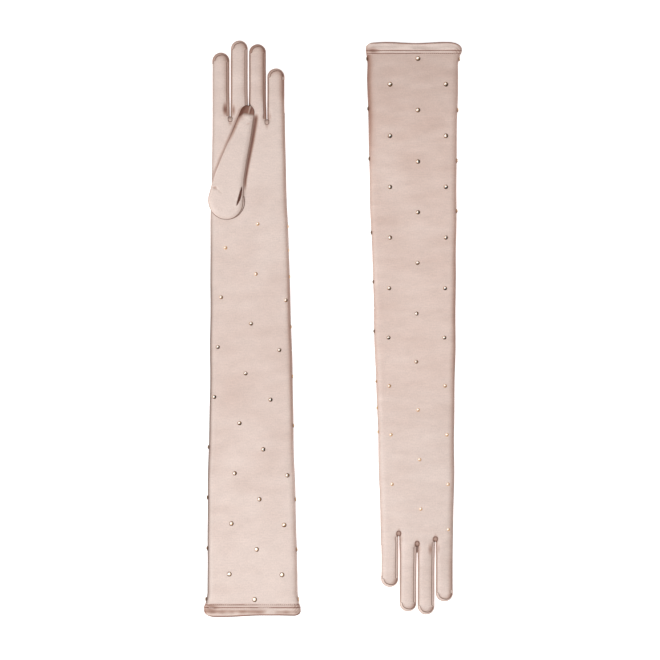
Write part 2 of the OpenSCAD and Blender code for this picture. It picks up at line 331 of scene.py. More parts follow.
def lay_down(glove, x, s, h):
    """Glove frame to row frame, in metres. The back-up glove is turned end for end and raised."""
    if glove.palm_up:
        return np.stack([x - MIDDLE, s - CUFF, h], -1) * MM
    return np.stack([MIDDLE - x, CUFF - s, h + raise_over_thumb(glove, x, s)], -1) * MM


# ---------------------------------------------------------------- cloth surface of a glove


# The height at which the two layers meet, as a share of the whole, and how far in each rounds.
MEET = 0.44
UPPER_ROUND, LOWER_ROUND = 7.6, 6.0


def knuckle_dents(glove, x, s):
    """Puckers round the crotches: a hollow on each side of the slit and one below it.

    Each row holds a hollow's place from the end of the slit, its two radii and its depth.
    """
    puckers = (
        ((-5.0, 8.5, 2.0, 5.0, 2.0), (3.6, 7.5, 1.3, 4.2, 1.1), (0.2, -6.5, 1.6, 2.2, 0.5)),
        ((-3.2, 2.5, 1.4, 2.6, 0.5), (3.2, 2.5, 1.4, 2.6, 0.5), (0.1, -6.0, 1.8, 2.0, 0.4)),
        ((-3.4, 3.0, 1.5, 3.0, 0.6), (3.4, 3.5, 1.3, 3.2, 0.4), (0.2, -6.5, 1.7, 2.2, 0.4)),
    )
    total = 0
    for j, (row, cs) in enumerate(zip(puckers, glove.crotch)):
        cx = slit_line(glove, j, np.array([cs]))[0]
        for dx, ds, rx, rs, deep in row:
            side, weight = (1, 1.0) if glove.palm_up else (-1, 0.4)
            total = total + weight * deep * dent(x, s, cx + side * dx, cs + ds, rx, rs)
    return total


def cloth_relief(glove, x, s):
    """Unevenness of the upper layer: slow swells, faint drag folds and the knuckle dents."""
    swell = 0.18 * ripple(x, s, glove.seed, 34, 120) + 0.06 * ripple(x, s, glove.seed + 1, 9, 26)
    drag = 0.12 * ripple(x * 0.35, s, glove.seed + 2, 14, 40) * ease((s - 500) / 50)
    for j, cs in enumerate(glove.crotch):
        cx = slit_line(glove, j, np.array([cs]))[0]
        drag = drag - 0.07 * crease(x, s, (cx - 2, cs - 8), (cx - 9, cs - 34), 2.2)
        drag = drag - 0.07 * crease(x, s, (cx + 2, cs - 8), (cx + 8, cs - 30), 2.2)
    return swell + drag - knuckle_dents(glove, x, s)


def upper_layer(glove, x, s, k):
    """Height of the upper layer: edge height, plus the rest times fullness, plus relief inside."""
    t = thickness(s)
    full = fullness(glove, x, s, k, UPPER_ROUND)
    return MEET * t + (1 - MEET) * t * full + cloth_relief(glove, x, s) * full**2


def lower_layer(glove, x, s, k):
    """Height of the layer on the table: edge height times what fullness leaves."""
    full = fullness(glove, x, s, k, LOWER_ROUND)
    return MEET * thickness(s) * (1 - full)


def side_tone_and_shade(glove, x, s):
    """Tone along the glove, and painted shade at the edges of its two long sides, by the seam and the fold.
    """
    low, high = outer_edges(glove, s)
    if glove.palm_up:
        # Slightly darker over the middle of the glove and over the fingers.
        tone = 0.055 * bell(s - 270, 130) + 0.035 * ease((s - 530) / 40)
        # Painted shade: a dark line along the index edge, where the cloth turns down.
        tone = tone + 0.30 * bell(x - low, 1.5) * (0.4 + 0.6 * ease((460 - s) / 120))
        # Painted shade along the little finger edge, beside the side seam.
        seam = 0.12 + 0.24 * ease((s - 150) / 120) - 0.16 * ease((s - 330) / 60)
        tone = tone + seam * bell(high - x - 0.9, 1.9)
        # Painted shade up the little finger side of the hand.
        return tone + 0.13 * bell(high - x, 4.0) * ease((s - 420) / 90)
    # Darker and pinker towards the cuff.
    tone = 0.015 * (1 - ease(s / 400)) + 0.075 * (1 - ease((s - 15) / 120)) + 0.02
    # Painted shade: a thin dark line along the little finger edge, and a wide dark band near the cuff.
    tone = tone + 0.14 * bell(high - x, 1.2)
    tone = tone + 0.46 * bell(high - x, 4.2) * (1 - ease((s - 60) / 100))
    # Painted shade along the index edge, where the cloth folds under. Along the sleeve a deeper tone is
    # added, which comes out pinker with the painted light there in edge_dim.
    fold = np.interp(s, [60, 170, 280, 400, 560], [0.15, 0.22, 0.42, 0.28, 0.22])
    tone = tone + fold * bell(x - low, 3.0) + 0.05 * sleeve_glow(s)
    # Painted shade of soft folds: darker and lighter bands across the sleeve near the cuff.
    bands = ripple(x * 0.3, s, glove.seed + 7, 10, 28)
    return tone + 0.018 * bands * (1 - ease((s - 60) / 200))


def slit_painted_shade(glove, x, s):
    """Painted shade beside the slits, and round the crotch diamonds of the back-up glove."""
    tone = 0
    for j, end in enumerate(glove.crotch):
        aside = x - slit_line(glove, j, s)
        tone = tone + 0.40 * bell(np.hypot(aside, np.maximum(end + GAP - s, 0)) - GAP, 1.2)
        if not glove.palm_up:
            ring = np.hypot(aside / 2.0, (s - end + DIAMOND_BACK) / 2.5)
            tone = tone + 0.6 * bell(ring - 1, 0.32)
    return tone


def finger_painted_shade(glove, x, s, k):
    """Painted shade on the side that finger k is rolled away from, and round its tip."""
    left, right = finger_edges(glove, k, s)
    past = (right - x) if glove.palm_up else (x - left)
    rolled = (0.30, 0.16, 0.42, 0.25)[k] if glove.palm_up else 0.10
    tone = rolled * ease((s - FOLD + 6) / 20) * bell(past, 4.4)
    cx, cr, cs = finger_cap(glove, k)
    rim = cr - np.hypot(x - cx, s - cs)
    return tone + np.where(s > cs, 0.42 * bell(rim, 1.4) + 0.24 * bell(rim, 3.6), 0)


def thumb_shadow(x, s):
    """Painted shadow: the dark lines on the palm along both sides of the folded thumb."""
    t, w = to_thumb(x, s)
    past_right = w - thumb_middle(t) - thumb_half(t)
    past_left = thumb_middle(t) - w - thumb_half(t)
    reach = 0.9 + 0.9 * np.clip(t / 90, 0, 1)
    beside = ease((t - 14) / 12) * (1 - ease((t - 93) / 7))
    along = ease((t - 14) / 20) * (1 - ease((t - 98) / 8))
    return 0.95 * beside * bell(past_right - 0.2 - reach, reach) + 0.24 * along * bell(past_left - 0.4, 1.3)


def edge_shade(glove, x, s, k):
    """Depth of colour, 0 to 1: painted shade at sides, slits, fingers, dents and thumb, tone and
    unevenness.
    """
    shade = side_tone_and_shade(glove, x, s) + slit_painted_shade(glove, x, s) + finger_painted_shade(glove, x, s, k)
    # Painted shade in the knuckle dents.
    shade = shade + 0.40 * np.clip(knuckle_dents(glove, x, s), 0, 1.8)
    shade = shade + 0.012 * ripple(x * 0.25, s, glove.seed + 3, 5, 26)
    shade = shade + 0.012 * ripple(x, s, glove.seed + 4, 30, 90)
    # Painted shadow of the folded thumb on the palm.
    if glove.palm_up:
        shade = shade + thumb_shadow(x, s)
    return np.clip(shade, 0, 1)


def sleeve_glow(s):
    """1 along the back-up glove's sleeve, 0 at its cuff and over its hand."""
    return ease((s - 30) / 70) * (1 - ease((s - 340) / 120))


def edge_dim(glove, x, s):
    """Painted shade: share of light lost where the cloth turns away at its edge, the same for every colour.

    It is below 0, which is painted light won, along the back-up glove's sleeve.
    """
    low, _ = outer_edges(glove, s)
    if glove.palm_up:
        dim = 0.50 * bell(x - low, 1.9) + 0.20 * bell(x - low, 4.4)
        return dim * (0.35 + 0.65 * ease((470 - s) / 120))
    return 0.38 * bell(x - low, 1.0) * ease((s - 220) / 120) - 0.08 * sleeve_glow(s)


# ---------------------------------------------------------------- meshes


def grid_faces(rows, cols, start=0, flip=False, around=False):
    """Quads of a grid whose points run row by row. around joins the last column to the first."""
    i, j = np.meshgrid(np.arange(rows - 1), np.arange(cols if around else cols - 1), indexing="ij")
    nxt = (j + 1) % cols
    quads = np.stack([i * cols + j, i * cols + nxt, (i + 1) * cols + nxt, (i + 1) * cols + j], -1)
    quads = quads.reshape(-1, 4) + start
    return quads[:, ::-1] if flip else quads


def join_grids(grids):
    """Several (points, faces, uv, shade) as one, with the faces counted on."""
    points, faces, uvs, shades, start = [], [], [], [], 0
    for p, f, uv, shade in grids:
        points.append(p)
        faces.append(f + start)
        uvs.append(uv)
        shades.append(shade)
        start += len(p)
    return np.concatenate(points), np.concatenate(faces), np.concatenate(uvs), np.concatenate(shades)


def cloth_mesh(name, points, faces, uv, shade, weld=2e-6, tags=None):
    """A mesh with the cloth's own UV map, its tones and smooth faces, welded at its seams.

    shade holds the depth of colour of each point, mostly painted shade, or that and the share of light
    lost.
    """
    mesh = bpy.data.meshes.new(name)
    mesh.from_pydata(points.tolist(), [], faces.tolist())
    corner = np.zeros(len(mesh.loops), np.int32)
    mesh.loops.foreach_get("vertex_index", corner)
    mesh.uv_layers.new(name="cloth").data.foreach_set("uv", uv[corner].astype(np.float32).ravel())
    tones = np.zeros((2, len(points)), np.float32)
    tones[:] = shade.T if shade.ndim == 2 else (shade, 0 * shade)
    for attribute, values in zip(("shade", "dim"), tones):
        mesh.attributes.new(attribute, "FLOAT", "POINT").data.foreach_set("value", values)
    if tags is not None:
        mesh.attributes.new("part", "INT", "FACE").data.foreach_set("value", tags.astype(np.int32))
    bm = bmesh.new()
    bm.from_mesh(mesh)
    if weld:
        bmesh.ops.remove_doubles(bm, verts=bm.verts, dist=weld)
    for f in bm.faces:
        f.smooth = True
    bm.to_mesh(mesh)
    bm.free()
    mesh.update()
    return mesh


def piece(name, mesh, *materials):
    """An object at the origin with those materials, in the scene."""
    obj = bpy.data.objects.new(name, mesh)
    bpy.context.scene.collection.objects.link(obj)
    for m in materials:
        mesh.materials.append(m)
    return obj


def sewn(name, grids, material, weld=0):
    """A piece made of several grids of cloth or thread."""
    return piece(name, cloth_mesh(name, *join_grids(grids), weld=weld), material)


def square_to(run):
    """Two unit directions square to each direction of run, the first of them level."""
    side = np.cross(run, [0.0, 0.0, 1.0])
    side /= np.maximum(np.linalg.norm(side, axis=1), 1e-9)[:, None]
    return side, np.cross(side, run)


def tube(path, radius, sides=6, closed=False):
    """A round cord along a path: a circle of that radius set square to the path at each point.

    radius may be a number or one for each point. Returns points, faces and a uv map.
    """
    path = np.asarray(path, float)
    if closed:
        ahead, behind = np.roll(path, -1, 0), np.roll(path, 1, 0)
        run = ahead - behind
    else:
        run = np.gradient(path, axis=0)
    run /= np.linalg.norm(run, axis=1)[:, None]
    side, up = square_to(run)
    turn = np.linspace(0, 2 * np.pi, sides, endpoint=False)
    r = np.broadcast_to(np.asarray(radius, float), (len(path),))[:, None, None]
    ring = side[:, None] * np.cos(turn)[None, :, None] + up[:, None] * np.sin(turn)[None, :, None]
    points = (path[:, None] + r * ring).reshape(-1, 3)
    n = len(path)
    faces = grid_faces(n, sides, around=True)
    if closed:
        last = np.arange(sides)
        nxt = (last + 1) % sides
        join = np.stack([(n - 1) * sides + last, (n - 1) * sides + nxt, nxt, last], -1)
        faces = np.concatenate([faces, join])
    length = np.concatenate([[0], np.cumsum(np.linalg.norm(np.diff(path, axis=0), axis=1))])
    uv = np.stack([np.tile(turn / (2 * np.pi) * 0.01, n), np.repeat(length, sides)], -1)
    return points, faces, uv, np.zeros(len(points))


def along_path(path, closed, step, start=0.0):
    """Points and unit directions every step along a path."""
    path = np.asarray(path, float)
    if closed:
        path = np.concatenate([path, path[:1]])
    gaps = np.linalg.norm(np.diff(path, axis=0), axis=1)
    at = np.concatenate([[0], np.cumsum(gaps)])
    count = int(at[-1] // step)
    want = start * step + np.arange(count) * (at[-1] / max(count, 1))
    spots = np.stack([np.interp(want, at, path[:, a]) for a in range(3)], -1)
    ahead = np.stack([np.interp(want + step * 0.2, at, path[:, a]) for a in range(3)], -1)
    run = ahead - spots
    return spots, run / np.maximum(np.linalg.norm(run, axis=1), 1e-9)[:, None]


def stitches(path, closed, step, long_, radius):
    """A row of sewn stitches: spindles of five rings of five points, thick in the middle."""
    spots, run = along_path(path, closed, step, 0.5)
    side, up = square_to(run)
    u = np.linspace(-1, 1, 5)
    thick = radius * np.array([0.25, 0.85, 1.0, 0.85, 0.25])
    turn = np.linspace(0, 2 * np.pi, 5, endpoint=False)
    middle = spots[:, None, None] + run[:, None, None] * (u * long_ / 2)[None, :, None, None]
    ring = (
        side[:, None, None] * np.cos(turn)[None, None, :, None]
        + up[:, None, None] * np.sin(turn)[None, None, :, None]
    )
    points = middle + ring * thick[None, :, None, None]
    one = grid_faces(5, 5, around=True)
    each = np.arange(len(spots)) * 25
    faces = (one[None] + each[:, None, None]).reshape(-1, 4)
    points = points.reshape(-1, 3)
    uv = np.tile(np.stack([np.tile(turn * 0.001, 5), np.repeat(u * 0.001, 5)], -1), (len(spots), 1))
    return points, faces, uv, np.zeros(len(points))


# ---------------------------------------------------------------- materials


def new_material(name):
    """A material, its nodes and links, and its shader."""
    mat = bpy.data.materials.new(name)
    mat.use_nodes = True
    nodes, links = mat.node_tree.nodes, mat.node_tree.links
    return mat, nodes, links, nodes["Principled BSDF"]


# How painted shade deepens the satin's colour: each channel's loss, and the depth at full shade.
CHANNEL_LOSS = np.array([0.9, 1.35, 1.55])
DEEPEST = 1.75


def satin(name, face, roughness=0.4, sheen=0.25, weave=0.10):
    """Stretch satin: a fine float weave, slow and fine unevenness of tone, painted shade in folds and at
    edges.

    The painted shade is the face colour times e to the minus of depth and each channel's loss.
    """
    mat, nodes, links, shader = new_material(name)
    uv = nodes.new("ShaderNodeUVMap")
    uv.uv_map = "cloth"

    def stretched(sx, sy, detail):
        at = nodes.new("ShaderNodeMapping")
        at.inputs["Scale"].default_value = (sx, sy, 1)
        links.new(uv.outputs["UV"], at.inputs["Vector"])
        noise = nodes.new("ShaderNodeTexNoise")
        noise.inputs["Scale"].default_value = 1.0
        noise.inputs["Detail"].default_value = detail
        links.new(at.outputs["Vector"], noise.inputs["Vector"])
        return noise.outputs["Fac"]

    def scaled(value, low, high):
        ranged = nodes.new("ShaderNodeMapRange")
        ranged.inputs["From Min"].default_value = 0.25
        ranged.inputs["From Max"].default_value = 0.75
        ranged.inputs["To Min"].default_value = low
        ranged.inputs["To Max"].default_value = high
        links.new(value, ranged.inputs["Value"])
        return ranged.outputs["Result"]

    def maths(kind, a, b):
        node = nodes.new("ShaderNodeMath")
        node.operation = kind
        for socket, value in zip(node.inputs, (a, b)):
            if isinstance(value, (int, float)):
                socket.default_value = value
            else:
                links.new(value, socket)
        return node.outputs[0]

    def tinted(kind, amount, a, b):
        node = nodes.new("ShaderNodeMix")
        node.data_type = "RGBA"
        node.blend_type = kind
        if isinstance(amount, (int, float)):
            node.inputs["Factor"].default_value = amount
        else:
            links.new(amount, node.inputs["Factor"])
        for socket, value in (("A", a), ("B", b)):
            socket = [i for i in node.inputs if i.name == socket and i.type == "RGBA"][0]
            if isinstance(value, tuple):
                socket.default_value = (*value, 1)
            else:
                links.new(value, socket)
        return [o for o in node.outputs if o.type == "RGBA"][0]

    slow = scaled(stretched(60, 80, 4), -0.035, 0.035)
    warp = scaled(stretched(700, 520, 2), -0.06, 0.06)
    weft = scaled(stretched(140, 900, 2), -0.045, 0.045)
    tone = maths("ADD", maths("ADD", slow, 1.0), maths("ADD", warp, weft))
    # Painted shade from the dim attribute darkens every colour alike.
    dim = nodes.new("ShaderNodeAttribute")
    dim.attribute_name = "dim"
    tone = maths("MULTIPLY", tone, maths("SUBTRACT", 1.0, dim.outputs["Fac"]))
    gray = nodes.new("ShaderNodeCombineColor")
    for c in ("Red", "Green", "Blue"):
        links.new(tone, gray.inputs[c])
    # Painted shade from the shade attribute: a deeper colour at each depth.
    shade = nodes.new("ShaderNodeAttribute")
    shade.attribute_name = "shade"
    depths = nodes.new("ShaderNodeValToRGB")
    stops = depths.color_ramp.elements
    stops.new(0.12)
    stops.new(0.3)
    stops.new(0.6)
    for stop in stops:
        stop.color = (*np.array(face) * np.exp(-DEEPEST * stop.position * CHANNEL_LOSS), 1)
    links.new(shade.outputs["Fac"], depths.inputs["Fac"])
    cloth = tinted("MULTIPLY", 1.0, depths.outputs["Color"], gray.outputs["Color"])
    links.new(cloth, shader.inputs["Base Color"])

    threads = []
    for axis, scale in (("X", 560.0), ("Y", 430.0)):
        wave = nodes.new("ShaderNodeTexWave")
        wave.bands_direction = axis
        wave.inputs["Scale"].default_value = scale
        wave.inputs["Distortion"].default_value = 0.6
        links.new(uv.outputs["UV"], wave.inputs["Vector"])
        threads.append(wave.outputs["Fac"])
    height = maths("ADD", maths("MULTIPLY", threads[0], 0.6), threads[1])
    height = maths("ADD", height, maths("MULTIPLY", stretched(420, 300, 3), 1.6))
    bump = nodes.new("ShaderNodeBump")
    bump.inputs["Strength"].default_value = weave
    bump.inputs["Distance"].default_value = 0.0002
    links.new(height, bump.inputs["Height"])
    links.new(bump.outputs["Normal"], shader.inputs["Normal"])
    gloss = scaled(stretched(240, 90, 2), roughness - 0.05, roughness + 0.05)
    links.new(gloss, shader.inputs["Roughness"])
    shader.inputs["Specular IOR Level"].default_value = 0.42
    shader.inputs["Sheen Weight"].default_value = sheen
    shader.inputs["Sheen Roughness"].default_value = 0.4
    shader.inputs["Sheen Tint"].default_value = (1.0, 0.93, 0.88, 1)
    shader.inputs["Anisotropic"].default_value = 0.45
    return mat


def sewing_thread(name, color):
    """Twisted sewing thread: slanting plies as bump, painted shade between them, and a dull shine."""
    mat, nodes, links, shader = new_material(name)
    uv = nodes.new("ShaderNodeUVMap")
    uv.uv_map = "cloth"
    wave = nodes.new("ShaderNodeTexWave")
    wave.bands_direction = "DIAGONAL"
    wave.inputs["Scale"].default_value = 420
    wave.inputs["Distortion"].default_value = 0.8
    links.new(uv.outputs["UV"], wave.inputs["Vector"])
    # Painted shade: the thread is darker where the plies' bump is low.
    ramp = nodes.new("ShaderNodeValToRGB")
    ramp.color_ramp.elements[0].color = (*[c * 0.72 for c in color], 1)
    ramp.color_ramp.elements[1].color = (*color, 1)
    links.new(wave.outputs["Fac"], ramp.inputs["Fac"])
    links.new(ramp.outputs["Color"], shader.inputs["Base Color"])
    bump = nodes.new("ShaderNodeBump")
    bump.inputs["Strength"].default_value = 0.5
    bump.inputs["Distance"].default_value = 0.0001
    links.new(wave.outputs["Fac"], bump.inputs["Height"])
    links.new(bump.outputs["Normal"], shader.inputs["Normal"])
    shader.inputs["Roughness"].default_value = 0.5
    shader.inputs["Sheen Weight"].default_value = 0.3
    return mat


def foiled_crystal(name):
    """Champagne crystal with a foil back: facets with painted light and shade, from dark to white gold."""
    mat, nodes, links, shader = new_material(name)
    # Painted light and shade of each facet, from the facet attribute.
    facet = nodes.new("ShaderNodeAttribute")
    facet.attribute_name = "facet"
    ramp = nodes.new("ShaderNodeValToRGB")
    tones = ramp.color_ramp.elements
    tones[0].position, tones[0].color = 0.0, (0.020, 0.011, 0.006, 1)
    tones[1].position, tones[1].color = 1.0, (1.0, 0.97, 0.92, 1)
    for at, color in ((0.3, (0.24, 0.12, 0.055)), (0.55, (0.62, 0.38, 0.21)), (0.8, (0.92, 0.76, 0.58))):
        tones.new(at).color = (*color, 1)
    links.new(facet.outputs["Fac"], ramp.inputs["Fac"])
    grain = nodes.new("ShaderNodeTexNoise")
    grain.inputs["Scale"].default_value = 2500
    coordinates = nodes.new("ShaderNodeTexCoord")
    links.new(coordinates.outputs["Object"], grain.inputs["Vector"])
    mix = nodes.new("ShaderNodeMix")
    mix.data_type = "RGBA"
    mix.blend_type = "SOFT_LIGHT"
    mix.inputs["Factor"].default_value = 0.35
    sockets = [i for i in mix.inputs if i.type == "RGBA"]
    links.new(ramp.outputs["Color"], sockets[0])
    links.new(grain.outputs["Color"], sockets[1])
    tinted = [o for o in mix.outputs if o.type == "RGBA"][0]
    links.new(tinted, shader.inputs["Base Color"])
    # Painted glow: each facet also emits its own tone, standing in for the foil throwing light back.
    links.new(tinted, shader.inputs["Emission Color"])
    shader.inputs["Emission Strength"].default_value = 0.28
    shader.inputs["Roughness"].default_value = 0.18
    shader.inputs["Coat Weight"].default_value = 0.2
    shader.inputs["Coat Roughness"].default_value = 0.04
    return mat


glove_satin = satin("champagne_satin", (0.780, 0.640, 0.578))
strip_satin = satin("side_strip_satin", (0.745, 0.600, 0.535), roughness=0.42)
hem_satin = satin("hem_satin", (0.765, 0.620, 0.555), roughness=0.32, sheen=0.3)
hem_thread = sewing_thread("hem_thread", (0.33, 0.140, 0.110))
seam_thread = sewing_thread("seam_thread", (0.25, 0.125, 0.085))
crystal_foil = foiled_crystal("champagne_crystal")


# ---------------------------------------------------------------- the glove's cloth


def across(count):
    """Places from -1 to 1, crowded towards both ends as cosines of even angles."""
    return -np.cos(np.linspace(0, np.pi, count + 1))


def glove_rows(glove, k):
    """Rows of s for finger k and its share of the glove, with the tip's rows as angles of its arc."""
    _, r, cs = finger_cap(glove, k)
    low = np.arange(10.0, glove.crotch[2] - 6, 2.4)
    low = np.concatenate([low, np.arange(glove.crotch[2] - 6, FINGER_START, 1.0)])
    low = np.union1d(np.round(low, 6), [SLEEVE_END])
    rows = np.concatenate([low, np.arange(FINGER_START, cs - 0.5, 1.5)])
    angles = np.linspace(0, np.pi / 2, 14)
    return np.concatenate([rows, cs + r * np.sin(angles)]), np.concatenate(
        [np.ones(len(rows)), np.cos(angles)]
    )


def glove_cloth(glove):
    """The whole glove as one welded mesh, from under the hem to the four finger tips.

    Each finger and its share of the hand is a grid, for the upper and for the lower layer. x runs
    from one edge to the other in crowded places, and the heights are the two layers' heights.
    """
    grids, tags = [], []
    places = across(22)
    for k in range(4):
        s, narrow = glove_rows(glove, k)
        cx, r, cs = finger_cap(glove, k)
        left, right = finger_edges(glove, k, s)
        middle = np.where(s > cs, cx, (left + right) / 2)
        half = np.where(s > cs, r * narrow, (right - left) / 2)
        x = middle[:, None] + half[:, None] * places[None]
        ss = np.broadcast_to(s[:, None], x.shape)
        for layer, flip in ((upper_layer, False), (lower_layer, True)):
            h = layer(glove, x, ss, k)
            points = lay_down(glove, x, ss, h).reshape(-1, 3)
            faces = grid_faces(*x.shape, flip=flip)
            uv = np.stack([x + (200 if flip else 0), ss], -1).reshape(-1, 2) * MM
            # Painted shade of the cloth: depth of colour, and the share of light lost.
            tones = np.stack([edge_shade(glove, x, ss, k), edge_dim(glove, x, ss)], -1)
            grids.append((points, faces, uv, tones.reshape(-1, 2)))
            row_s = np.repeat((s[:-1] + s[1:]) / 2, x.shape[1] - 1)
            tags.append(np.where(row_s < SLEEVE_END, 0, np.where(row_s < FINGER_START, 1, 2 + k)))
    points, faces, uv, shade = join_grids(grids)
    return cloth_mesh(f"{glove.side}_cloth", points, faces, uv, shade, tags=np.concatenate(tags))


def cut_out(whole, part, name, material):
    """One tagged part of the whole cloth as its own piece, with the whole cloth's normals."""
    mesh = whole.copy()
    mesh.name = name
    bm = bmesh.new()
    bm.from_mesh(mesh)
    tag = bm.faces.layers.int["part"]
    bmesh.ops.delete(bm, geom=[f for f in bm.faces if f[tag] != part], context="FACES")
    bm.to_mesh(mesh)
    bm.free()
    kept = np.zeros(len(mesh.vertices) * 3, np.float32)
    mesh.attributes["whole_normal"].data.foreach_get("vector", kept)
    mesh.normals_split_custom_set_from_vertices(kept.reshape(-1, 3).tolist())
    return piece(name, mesh, material)


def flex(obj):
    """Bakes the piece's place into its mesh."""
    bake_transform(obj)


ELBOW_REACH, WRIST_REACH, FINGER_REACH = 24, 24, 8


def add_cloth(glove):
    """Sleeve, hand and four fingers of one glove, cut from one cloth."""
    side = glove.side
    whole = glove_cloth(glove)
    normals = np.zeros(len(whole.vertices) * 3, np.float32)
    whole.vertex_normals.foreach_get("vector", normals)
    whole.attributes.new("whole_normal", "FLOAT_VECTOR", "POINT").data.foreach_set("vector", normals)

    sleeve = cut_out(whole, 0, f"{side}_satin_sleeve", glove_satin)
    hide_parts(f"{side}_upper_sleeve", f"{side}_forearm_sleeve")
    flex(sleeve)
    hand = cut_out(whole, 1, f"{side}_satin_hand", glove_satin)
    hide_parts(f"{side}_hand")
    flex(hand)
    for k, name in enumerate(FINGERS):
        finger = cut_out(whole, 2 + k, f"{side}_{name}_finger_satin", glove_satin)
        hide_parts(f"{side}_{name}_finger")
        flex(finger)
    bpy.data.meshes.remove(whole)


# ---------------------------------------------------------------- side strips of the fingers


def finger_outline(glove, k, count=150):
    """The outline of finger k from its left crotch round the tip to its right crotch.

    Returns places, inward directions and a share from -1 (left side) over 0 (tip) to 1 (right).
    A finger on the outside of the hand starts at the tip's arc on its outer side.
    """
    cx, r, cs = finger_cap(glove, k)
    start_l = cs - 3 if k == 0 else glove.crotch[k - 1] + 0.8
    start_r = cs - 3 if k == 3 else glove.crotch[k] + 0.8
    up = np.linspace(start_l, cs, count // 3, endpoint=False)
    down = np.linspace(cs, start_r, count // 3 + 1)[1:]
    arc = np.linspace(np.pi, 0, count // 3)
    left, _ = finger_edges(glove, k, up)
    _, right = finger_edges(glove, k, down)
    x = np.concatenate([left, cx + r * np.cos(arc), right])
    s = np.concatenate([up, cs + r * np.sin(arc), down])
    nx = np.concatenate([np.ones(len(up)), -np.cos(arc), -np.ones(len(down))])
    ns = np.concatenate([np.zeros(len(up)), -np.sin(arc), np.zeros(len(down))])
    share = np.concatenate([-np.ones(len(up)), -np.cos(arc), np.ones(len(down))])
    return x, s, nx, ns, share


def add_strips(glove, k):
    """The strip sewn round finger k: from a seam on the upper layer, over the edge, to one below.

    A point lies a set distance in from the outline. The distance runs from the upper seam's to
    nothing and on to the lower seam's, and the strip stands a little proud between its seams.
    """
    side, name = glove.side, FINGERS[k]
    x, s, nx, ns, share = finger_outline(glove, k)
    shown = share * glove.strip_side
    wide = 1.0 + 1.9 * ease((shown + 1) / 1.3)
    under = 1.0 + 1.9 * ease((-shown + 1) / 1.3)
    q = np.linspace(0, 1, 19)
    inward = np.where(
        q[None] < 0.5,
        wide[:, None] * (1 - 2 * q[None]),
        under[:, None] * (2 * q[None] - 1),
    )
    px, ps = x[:, None] + nx[:, None] * inward, s[:, None] + ns[:, None] * inward
    top = upper_layer(glove, px, ps, k)
    low = lower_layer(glove, px, ps, k)
    h = np.where(q[None] <= 0.5, top, low)
    proud = 0.3 * (1 - np.abs(2 * q - 1) ** 5)[None] - 0.04
    out = quarter_round(inward, UPPER_ROUND)
    way = np.where(q[None] <= 0.5, 1.0, -1.0)
    px = px - nx[:, None] * proud * (1 - out)
    ps = ps - ns[:, None] * proud * (1 - out)
    h = h + way * proud * np.maximum(out, 0.15)
    points = lay_down(glove, px, ps, h)
    uv = np.stack([np.cumsum(np.full(px.shape, 0.5), 1), ps], -1).reshape(-1, 2) * MM
    # Painted shade on the palm-up glove's strips and where a strip turns over the edge, and darker along
    # both seams.
    base, rim, wide_rim = ((0.20, 0.10, 0.34, 0.14)[k], 0.25, 1.0) if glove.palm_up else (0.0, 0.38, 0.5)
    shade = base + 0.45 * np.abs(2 * q - 1)[None] ** 8 + rim * bell(inward, wide_rim)
    shade = np.clip(np.broadcast_to(shade, px.shape), 0, 1).ravel()
    # On the back-up glove a little painted light lifts the strips.
    dim = np.full(len(shade), 0.0 if glove.palm_up else -0.06)
    faces = grid_faces(*px.shape, flip=True)
    strip = (points.reshape(-1, 3), faces, uv, np.stack([shade, dim], -1))
    obj = sewn(f"{side}_{name}_side_strip", [strip], strip_satin)
    node = f"{side}_{name}_fourchette" + ("s" if k in (1, 2) else "")
    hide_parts(node)
    flex(obj)
    cord = (0.25 + 0.17 * (1 - np.abs(share)) ** 0.5) * MM
    seams = [tube(points[:, c] + [0, 0, lift], cord) for c, lift in ((0, 0.06 * MM), (-1, -0.02 * MM))]
    obj = sewn(f"{side}_{name}_seams", seams, seam_thread)
    flex(obj)


def add_gussets(glove):
    """Six small diamonds at the crotches, one on each layer of each slit, with their stitching.

    A diamond's point is its centre plus a share of both half diagonals, on the cloth and raised in
    its middle.
    """
    side = glove.side
    diamonds, edges = [], []
    a, b = np.meshgrid(np.linspace(-1, 1, 13), np.linspace(-1, 1, 13), indexing="ij")
    for j in range(3):
        cs = glove.crotch[j] - DIAMOND_BACK
        for layer, way in ((upper_layer, 1), (lower_layer, -1)):
            # Two shares of a square, drawn half-way to a disc.
            ra, rb = a * (1 - 0.42 * b**2), b * (1 - 0.42 * a**2)
            x = slit_line(glove, j, np.array([cs]))[0] + 3.5 * (ra - rb) / 2
            s = cs + 4.3 * (ra + rb) / 2
            k = np.where(x < slit_line(glove, j, s), j, j + 1)
            h = np.where(k == j, layer(glove, x, s, j), layer(glove, x, s, j + 1))
            h = h + way * (0.10 + 0.55 * (1 - a**2) * (1 - b**2))
            points = lay_down(glove, x, s, h)
            # Painted shade: darker towards each diamond's rim, and darker all over in the back-up glove's
            # crotches.
            base, deep, power = (0.10, 0.35, 8) if glove.palm_up else (0.22, 0.70, 3)
            shade = base + deep * np.maximum(np.abs(a), np.abs(b)) ** power
            uv = np.stack([x, s], -1).reshape(-1, 2) * MM
            faces = grid_faces(13, 13, flip=way > 0)
            diamonds.append((points.reshape(-1, 3), faces, uv, np.clip(shade, 0, 1).ravel()))
            loop = np.concatenate([points[0, :-1], points[:-1, -1], points[-1, :0:-1], points[:0:-1, 0]])
            edges.append(tube(loop + [0, 0, way * 0.05 * MM], 0.36 * MM, closed=True))
    obj = sewn(f"{side}_crotch_diamonds", diamonds, strip_satin)
    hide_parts(f"{side}_crotch_gussets")
    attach(obj, f"{side}_hand_body")
    obj = sewn(f"{side}_crotch_seams", edges, seam_thread)
    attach(obj, f"{side}_hand_body")


# ---------------------------------------------------------------- thumb


